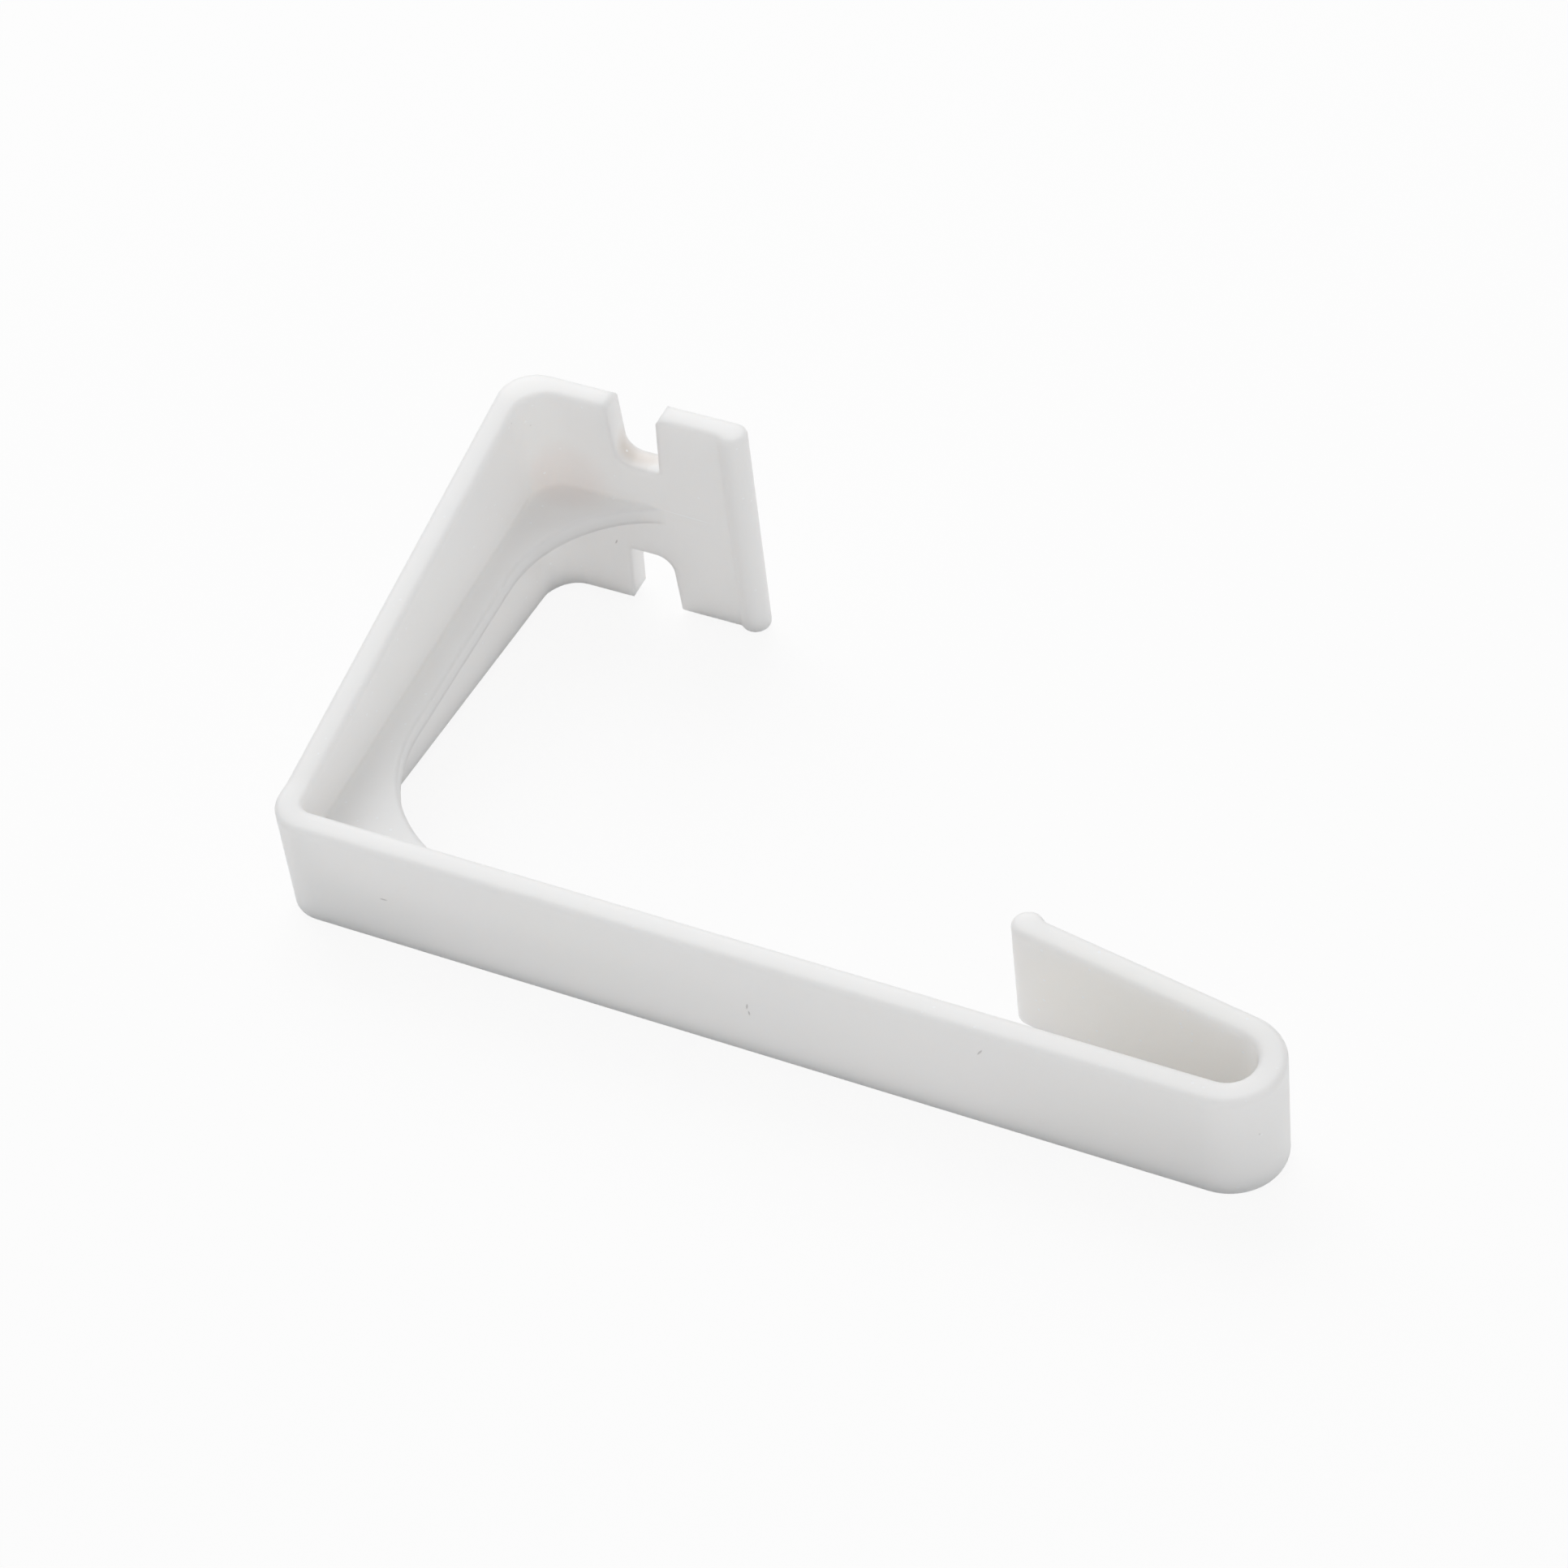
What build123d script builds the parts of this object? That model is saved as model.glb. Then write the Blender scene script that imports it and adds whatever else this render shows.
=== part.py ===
from build123d import *
import os
from math import cos, radians, sqrt, tan

# Retainer clip for a curtain track: one white plastic moulding, a C-shaped strip seen in plan.
# X runs along the front arm to the hook, Y runs from the arm to the tab, Z is across the strip.
# The origin is in the middle of the twist-lock neck, on the back of the tab.
# All sizes are in millimetres and degrees.

# Strip
wall = 2.1
edge_round = 0.4
band_tilt_angle = 20.0

# Front arm and the hook at its right-hand end
arm_length = 80.0
arm_width = 10.4
bend_inner_radius = 2.2
lip_opening_angle = 9.5
lip_length = 20.0

# Side wall, which widens from the arm to the tab
side_length = 46.2
side_lean_angle = 1.7
front_outer_radius = 3.0
front_inner_radius = 1.0
back_outer_radius = 3.0
back_inner_radius = 2.6
flare_front_clearance = 1.4
flare_back_clearance = 0.8
flare_blend_radius = 6.0

# Tab with the twist-lock neck
tab_length = 21.0
tab_width = 21.3
tab_toe_angle = 0.2
neck_position = 11.3
neck_width = 9.4
notch_mouth_width = 4.4
notch_wall_draft = 3.0
notch_round = 1.6
notch_corner_round = 0.3
notch_mouth_round = 0.5

# Round beads along both free ends
bead_diameter = 2.5
bead_root_round = 0.5

# Stiffening web on the inside, at mid-width
web_thickness = 1.5
rib_height = 2.2
rib_length = 50.0
web_front_radius = 13.0
web_back_radius = 11.0
web_root_overlap = 0.3
web_tab_margin = 1.0


# Directions in plan, and the points where the outer faces of the strip meet
side_direction = Vector(0, 1).rotate(Axis.Z, side_lean_angle)
side_inward = side_direction.rotate(Axis.Z, -90)
tab_direction = Vector(1, 0).rotate(Axis.Z, tab_toe_angle)
tab_inward = tab_direction.rotate(Axis.Z, -90)
lip_direction = Vector(-1, 0).rotate(Axis.Z, -lip_opening_angle)
lip_outward = lip_direction.rotate(Axis.Z, -90)
back_corner = -tab_direction * neck_position
front_corner = back_corner - side_direction * side_length


def inside_front_corner(side_depth, arm_depth):
    """The point this far inside the outer faces of the side wall and the front arm."""
    rise = arm_depth - side_depth * side_inward.Y
    return front_corner + side_inward * side_depth + side_direction * (rise / side_direction.Y)


def inside_back_corner(side_depth, tab_depth):
    """The point this far inside the outer faces of the side wall and the tab."""
    start = back_corner + tab_inward * tab_depth
    missing = side_depth - (start - back_corner).dot(side_inward)
    return start + tab_direction * (missing / tab_direction.dot(side_inward))


bead_radius = bead_diameter / 2
bead_offset = wall - bead_radius
bead_half_chord = sqrt(bead_radius**2 - bead_offset**2)


def bead_points(centre, outward, proud):
    """Root, tip and flush point of a bead, which stands out of the strip's face on its proud side."""
    root = centre - outward * bead_half_chord + proud * bead_offset
    tip = centre + outward * bead_radius
    flush = centre - proud * bead_radius
    return root, tip, flush


# The tab's bead is flush with its back, and the lip's bead is flush with the inside of the hook
tab_bead_centre = (
    back_corner + tab_direction * (tab_length - bead_radius) + tab_inward * bead_radius
)
tab_bead_root, tab_bead_tip, tab_bead_flush = bead_points(
    tab_bead_centre, tab_direction, tab_inward
)
bend_outer_radius = bend_inner_radius + wall
bend_centre = front_corner + Vector(arm_length - bend_outer_radius, bend_outer_radius)
lip_bead_centre = (
    bend_centre
    + lip_outward * (bend_inner_radius + bead_radius)
    + lip_direction * (lip_length - bead_radius)
)
lip_bead_root, lip_bead_tip, lip_bead_flush = bead_points(
    lip_bead_centre, lip_direction, lip_outward
)


def is_band(face):
    """Whether a face is part of the bands along the top and bottom of the strip."""
    return abs(face.normal_at().Z) > cos(radians(band_tilt_angle))


with BuildPart() as clip:
    # Plan of the strip, extruded to the tab's full width
    with BuildSketch(Plane.XY) as plan:
        with BuildLine():
            arm_end = bend_centre - Vector(0, bend_outer_radius)
            Polyline(tab_bead_flush, back_corner, front_corner, arm_end)
            outer_bend = CenterArc(
                bend_centre, bend_outer_radius, -90, 180 - lip_opening_angle
            )
            Line(outer_bend @ 1, lip_bead_root)
            ThreePointArc(lip_bead_root, lip_bead_tip, lip_bead_flush)
            inner_bend = CenterArc(
                bend_centre, bend_inner_radius, -90, 180 - lip_opening_angle
            )
            Line(lip_bead_flush, inner_bend @ 1)
            Polyline(
                inner_bend @ 0,
                inside_front_corner(wall, wall),
                inside_back_corner(wall, wall),
                tab_bead_root,
            )
            ThreePointArc(tab_bead_root, tab_bead_tip, tab_bead_flush)
        make_face()
        for corner, radius in (
            (front_corner, front_outer_radius),
            (inside_front_corner(wall, wall), front_inner_radius),
            (back_corner, back_outer_radius),
            (inside_back_corner(wall, wall), back_inner_radius),
            (tab_bead_root, bead_root_round),
            (lip_bead_root, bead_root_round),
        ):
            fillet(plan.vertices().sort_by_distance(corner)[0], radius)
    extrude(amount=tab_width / 2, both=True)

    # Seen from the side, the wall widens between its two corners; only the tab end is this wide
    with BuildSketch(Plane.YZ) as side_view:
        flare_front = front_corner.Y + front_outer_radius + flare_front_clearance
        flare_back = back_corner.Y - bead_diameter - flare_back_clearance
        with BuildLine():
            Polyline(
                (front_corner.Y - wall, 0),
                (front_corner.Y - wall, arm_width / 2),
                (flare_front, arm_width / 2),
                (flare_back, tab_width / 2),
                (back_corner.Y + wall, tab_width / 2),
                (back_corner.Y + wall, 0),
            )
            mirror(about=Plane.XZ)
        make_face()
        bends = side_view.vertices().filter_by(
            lambda vertex: front_corner.Y - wall < vertex.X < back_corner.Y
        )
        fillet(bends, flare_blend_radius)
    extrude(amount=tab_length + wall, both=True, mode=Mode.INTERSECT)
    # The front arm, the bend and the lip keep the arm's width
    extrude(plan.sketch, amount=arm_width / 2, both=True)

    # Every edge along the bands at the top and bottom of the strip is softly rounded
    bands = clip.faces().filter_by(is_band)
    outline = [
        edge
        for band in bands
        for edge in band.edges()
        if not any(edge in other.edges() for other in bands if other != band)
    ]
    fillet(outline, edge_round)

    # Two notches leave the twist-lock neck; each is the other one turned half round
    notch_depth = (tab_width - neck_width) / 2
    mouth = notch_mouth_width / 2
    floor = mouth - notch_depth * tan(radians(notch_wall_draft))
    shoulder = mouth + 2 * notch_mouth_round
    for along_tab in (tab_direction, -tab_direction):
        neck_plane = Plane(tab_inward * wall / 2, x_dir=along_tab, z_dir=tab_inward)
        with BuildSketch(neck_plane) as notch:
            with Locations((0, neck_width / 2)):
                Polygon(
                    (-floor, 0),
                    (floor, 0),
                    (mouth, notch_depth),
                    (shoulder, notch_depth),
                    (shoulder, 2 * notch_depth),
                    (-shoulder, 2 * notch_depth),
                    (-shoulder, notch_depth),
                    (-mouth, notch_depth),
                    align=None,
                )
            for corner, radius in (
                ((-floor, neck_width / 2), notch_round),
                ((floor, neck_width / 2), notch_corner_round),
                ((-mouth, tab_width / 2), notch_mouth_round),
                ((mouth, tab_width / 2), notch_mouth_round),
            ):
                fillet(notch.vertices().sort_by_distance(corner)[0], radius)
        extrude(amount=wall, both=True, mode=Mode.SUBTRACT)

    # Web across both corners, with a low rib between them that dies out along the front arm
    with BuildSketch(Plane.XY) as web:
        web_front_corner = inside_front_corner(wall + rib_height, wall + rib_height)
        web_back_corner = inside_back_corner(
            wall + rib_height, wall - web_root_overlap
        )
        web_tab_end = web_back_corner + tab_direction * (web_back_radius + web_tab_margin)
        with BuildLine():
            Polyline(
                inside_back_corner(wall / 2, wall / 2),
                inside_front_corner(wall / 2, wall / 2),
                front_corner + Vector(rib_length, wall / 2),
                front_corner + Vector(rib_length, wall),
                web_front_corner,
                web_back_corner,
                web_tab_end,
                web_tab_end - tab_inward * (wall / 2 - web_root_overlap),
                close=True,
            )
        make_face()
        for corner, radius in (
            (web_front_corner, web_front_radius),
            (web_back_corner, web_back_radius),
        ):
            fillet(web.vertices().sort_by_distance(corner)[0], radius)
    extrude(amount=web_thickness / 2, both=True)

os.makedirs("parts", exist_ok=True)
clip.part.label = "retainer_clip"
export_step(clip.part, "parts/retainer_clip.step")
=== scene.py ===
import bpy
from math import atan, radians
from mathutils import Matrix, Vector

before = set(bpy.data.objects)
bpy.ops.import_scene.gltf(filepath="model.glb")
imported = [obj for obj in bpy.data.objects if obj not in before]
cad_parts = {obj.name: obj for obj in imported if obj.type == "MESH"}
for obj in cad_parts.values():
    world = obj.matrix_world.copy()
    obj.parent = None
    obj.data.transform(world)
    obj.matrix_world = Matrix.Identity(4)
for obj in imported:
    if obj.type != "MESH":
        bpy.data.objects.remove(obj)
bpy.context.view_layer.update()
scene = bpy.context.scene
scene.view_settings.view_transform = "Standard"

# Clip: one injection moulding in white polypropylene, whose shape is the CAD node's own.
# The plastic is satin and lets light in a few millimetres, so its shadows and edges are soft.
# Its tone drifts, it carries fine dust and painted glints, and the front arm and the tab have
# small nicks; painted shade darkens its back corner, painted light brightens its hook, and
# painted highlights lie on the tab and the upper notch's floor.


def linear(hex_colour):
    """Scene-linear colour, with alpha, of an sRGB hex value."""
    channels = [int(hex_colour[i : i + 2], 16) / 255 for i in (1, 3, 5)]
    curve = lambda c: c / 12.92 if c <= 0.04045 else ((c + 0.055) / 1.055) ** 2.4
    return (*map(curve, channels), 1)


def add_node(tree, kind, settings=None, links=None):
    """A new shader node with its settings, socket values and incoming links.

    Sockets go by name, or by number where a node has several of the same name.
    """
    node = tree.nodes.new(kind)
    for name, value in (settings or {}).items():
        if isinstance(name, int) or name in node.inputs:
            node.inputs[name].default_value = value
        else:
            setattr(node, name, value)
    for name, output in (links or {}).items():
        tree.links.new(output, node.inputs[name])
    return node


white_polypropylene = bpy.data.materials.new("white_polypropylene")
white_polypropylene.use_nodes = True
clip_tree = white_polypropylene.node_tree
shader = clip_tree.nodes["Principled BSDF"]
shader.inputs["Roughness"].default_value = 0.38
shader.inputs["IOR"].default_value = 1.49
shader.inputs["Subsurface Weight"].default_value = 1.0
shader.inputs["Subsurface Radius"].default_value = (1.0, 0.94, 0.9)
shader.inputs["Subsurface Scale"].default_value = 0.004

# Patterns are laid out in millimetres, on the clip's own coordinates
coordinates = add_node(clip_tree, "ShaderNodeTexCoord")
millimetres = add_node(
    clip_tree,
    "ShaderNodeVectorMath",
    {"operation": "MULTIPLY", 1: (1000, 1000, 1000)},
    {0: coordinates.outputs["Object"]},
).outputs[0]

drift = add_node(
    clip_tree,
    "ShaderNodeTexNoise",
    {"Scale": 0.08, "Detail": 2.0},
    {"Vector": millimetres},
)
tone = add_node(
    clip_tree,
    "ShaderNodeMix",
    {"data_type": "RGBA", 6: linear("#F6F5F3"), 7: linear("#FAF7F6")},
    {0: drift.outputs["Fac"]},
).outputs[2]


def dust_and_glints(size, amount, seed):
    """Mask of round specks of this size in millimetres, on this share of the noise cells."""
    shifted = add_node(
        clip_tree,
        "ShaderNodeVectorMath",
        {"operation": "ADD", 1: (seed, seed, seed)},
        {0: millimetres},
    ).outputs[0]
    cells = add_node(
        clip_tree,
        "ShaderNodeTexVoronoi",
        {"Scale": 0.25 / size},
        {"Vector": shifted},
    )
    speck = add_node(
        clip_tree,
        "ShaderNodeMapRange",
        {
            "interpolation_type": "SMOOTHSTEP",
            "From Min": 0.10,
            "From Max": 0.24,
            "To Min": 1.0,
            "To Max": 0.0,
        },
        {"Value": cells.outputs["Distance"]},
    ).outputs[0]
    chosen = add_node(
        clip_tree,
        "ShaderNodeMath",
        {"operation": "LESS_THAN", 1: amount},
        {0: cells.outputs["Color"]},
    ).outputs[0]
    return add_node(
        clip_tree, "ShaderNodeMath", {"operation": "MULTIPLY"}, {0: speck, 1: chosen}
    ).outputs[0]


def soft_oval(centre, half_size, turn):
    """Mask of a soft oval: centre and half sizes in millimetres, turned in degrees about Y."""
    moved = add_node(
        clip_tree,
        "ShaderNodeVectorMath",
        {"operation": "SUBTRACT", 1: centre},
        {0: millimetres},
    ).outputs[0]
    turned = add_node(
        clip_tree,
        "ShaderNodeVectorRotate",
        {"rotation_type": "Y_AXIS", "Angle": radians(turn)},
        {"Vector": moved},
    ).outputs[0]
    scaled = add_node(
        clip_tree,
        "ShaderNodeVectorMath",
        {"operation": "DIVIDE", 1: half_size},
        {0: turned},
    ).outputs[0]
    reach = add_node(
        clip_tree, "ShaderNodeVectorMath", {"operation": "LENGTH"}, {0: scaled}
    ).outputs[1]
    return add_node(
        clip_tree,
        "ShaderNodeMapRange",
        {
            "interpolation_type": "SMOOTHSTEP",
            "From Min": 0.4,
            "From Max": 1.0,
            "To Min": 1.0,
            "To Max": 0.0,
        },
        {"Value": reach},
    ).outputs[0]


def tinted(colour, mask, strength, tint):
    """The colour, moved this far towards the tint where the mask is."""
    share = add_node(
        clip_tree, "ShaderNodeMath", {"operation": "MULTIPLY", 1: strength}, {0: mask}
    ).outputs[0]
    return add_node(
        clip_tree,
        "ShaderNodeMix",
        {"data_type": "RGBA", 7: linear(tint)},
        {0: share, 6: colour},
    ).outputs[2]


# Painted shade, ruddy, in the concave back corner; a darker brownish patch in the upper notch;
# painted light, cream, over the hook
for centre, half_size, strength, tint in (
    ((-6.4, -2.6, 2.2), (4.4, 3.0, 4.4), 0.10, "#D0AFA8"),
    ((-0.6, -0.3, 5.4), (3.2, 2.0, 2.6), 0.45, "#C8BCB2"),
    ((58.0, -38.5, 0.0), (18.0, 6.0, 10.0), 0.7, "#FFF8F0"),
):
    tone = tinted(tone, soft_oval(centre, half_size, 0), strength, tint)
# Real dust is about 0.05 mm across; it is drawn several times as coarse, so that it shows. The
# white specks are painted glints of the grain, the grey specks are dust.
for size, amount, seed, strength, tint in (
    (0.17, 0.22, 3.0, 0.9, "#FFFFFF"),
    (0.12, 0.05, 11.0, 0.25, "#8E8C88"),
):
    tone = tinted(tone, dust_and_glints(size, amount, seed), strength, tint)
# Dark nicks: four on the front face of the arm, two on the inner face of the tab
for centre, half_size, turn in (
    ((-0.3, -46.2, 0.0), (0.42, 0.6, 0.10), 4),
    ((29.95, -46.2, 0.3), (0.10, 0.6, 0.42), -10),
    ((30.05, -46.2, -0.4), (0.10, 0.6, 0.32), 4),
    ((48.6, -46.2, 3.1), (0.10, 0.6, 0.5), -32),
    ((-3.1, -2.1, -4.4), (0.09, 0.6, 0.35), -25),
    ((-3.2, -2.1, -2.6), (0.08, 0.6, 0.22), 15),
):
    tone = tinted(tone, soft_oval(centre, half_size, turn), 0.4, "#77757A")
# Painted highlights: a pale moulding line, whose edge catches the light, runs across the tab,
# and a pale fleck lies on the upper notch's floor
for centre, half_size, turn in (
    ((3.9, -2.1, 0.68), (2.8, 0.5, 0.09), -2),
    ((1.1, -1.8, 4.7), (0.6, 0.7, 0.4), 0),
):
    tone = tinted(tone, soft_oval(centre, half_size, turn), 0.9, "#FFFFFF")
clip_tree.links.new(tone, shader.inputs["Base Color"])

# Softly rounded edges, and the fine grain of the mould, 0.2 mm across and 0.02 mm deep
edges = add_node(clip_tree, "ShaderNodeBevel", {"samples": 6, "Radius": 0.0007})
grain = add_node(
    clip_tree,
    "ShaderNodeTexNoise",
    {"Scale": 5.0, "Detail": 3.0},
    {"Vector": millimetres},
)
surface = add_node(
    clip_tree,
    "ShaderNodeBump",
    {"Strength": 0.12, "Distance": 0.00002},
    {"Height": grain.outputs["Fac"], "Normal": edges.outputs["Normal"]},
)
clip_tree.links.new(surface.outputs["Normal"], shader.inputs["Normal"])
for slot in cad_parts["retainer_clip"].material_slots:
    slot.material = white_polypropylene

# Floor: matt white studio table, pure white to the camera but for a share that keeps the shadow.
# The clip lies on the front arm's lower edge and on the lower bend of the side wall, where
# its flare ends, so the table is tilted to touch both.
arm_edge = Vector((0, -0.0459, -0.0052))
flare_bend = Vector((0, -0.0033, -0.01065))
floor_slope = atan((arm_edge.z - flare_bend.z) / (flare_bend.y - arm_edge.y))
bpy.ops.mesh.primitive_plane_add(size=6)
floor = bpy.context.object
floor.name = "floor"
floor.matrix_world = Matrix.Translation(flare_bend) @ Matrix.Rotation(-floor_slope, 4, "X")
floor_paint = bpy.data.materials.new("floor_paint")
floor_paint.use_nodes = True
floor_tree = floor_paint.node_tree
floor_tree.nodes.clear()
matt = add_node(floor_tree, "ShaderNodeBsdfDiffuse", {"Color": (0.95, 0.95, 0.95, 1)})
white = add_node(floor_tree, "ShaderNodeEmission", {"Color": (1, 1, 1, 1), "Strength": 1.0})
ray = add_node(floor_tree, "ShaderNodeLightPath")
seen = ray.outputs["Is Camera Ray"]
for kind in ("Is Glossy Ray", "Is Transmission Ray"):
    seen = add_node(
        floor_tree,
        "ShaderNodeMath",
        {"operation": "MAXIMUM"},
        {0: seen, 1: ray.outputs[kind]},
    ).outputs[0]
whiteness = add_node(
    floor_tree, "ShaderNodeMath", {"operation": "MULTIPLY", 1: 0.88}, {0: seen}
).outputs[0]
blend = add_node(
    floor_tree,
    "ShaderNodeMixShader",
    None,
    {0: whiteness, 1: matt.outputs[0], 2: white.outputs[0]},
)
add_node(floor_tree, "ShaderNodeOutputMaterial", None, {"Surface": blend.outputs[0]})
floor.data.materials.append(floor_paint)

# Room light: an even white dome.
world = bpy.data.worlds.new("studio")
scene.world = world
world.use_nodes = True
world.node_tree.nodes["Background"].inputs["Color"].default_value = (1, 1, 1, 1)
world.node_tree.nodes["Background"].inputs["Strength"].default_value = 0.48

# Studio lamps: a large soft key over the back left of the clip, and a weak fill in front of
# the hook. Both are aimed at the origin, and neither brings the white plastic to clipping.
for name, size, energy, location in (
    ("key", 0.8, 4.0, (-0.35, 0.5, 0.6)),
    ("fill", 0.6, 0.65, (0.55, -0.4, 0.3)),
):
    lamp_data = bpy.data.lights.new(name, "AREA")
    lamp_data.size = size
    lamp_data.energy = energy
    lamp = bpy.data.objects.new(name, lamp_data)
    scene.collection.objects.link(lamp)
    lamp.location = location
    lamp.rotation_euler = (-lamp.location).to_track_quat("-Z", "Y").to_euler()

# Camera: fitted to the clip's outline in the photo.
camera_data = bpy.data.cameras.new("camera")
camera_data.lens = 114.122
camera_data.sensor_width = 36
camera = bpy.data.objects.new("camera", camera_data)
scene.collection.objects.link(camera)
camera.location = (0.153259, -0.245975, 0.275586)
camera.rotation_euler = [radians(turn) for turn in (42.6881, 5.1231, 24.9872)]
scene.camera = camera
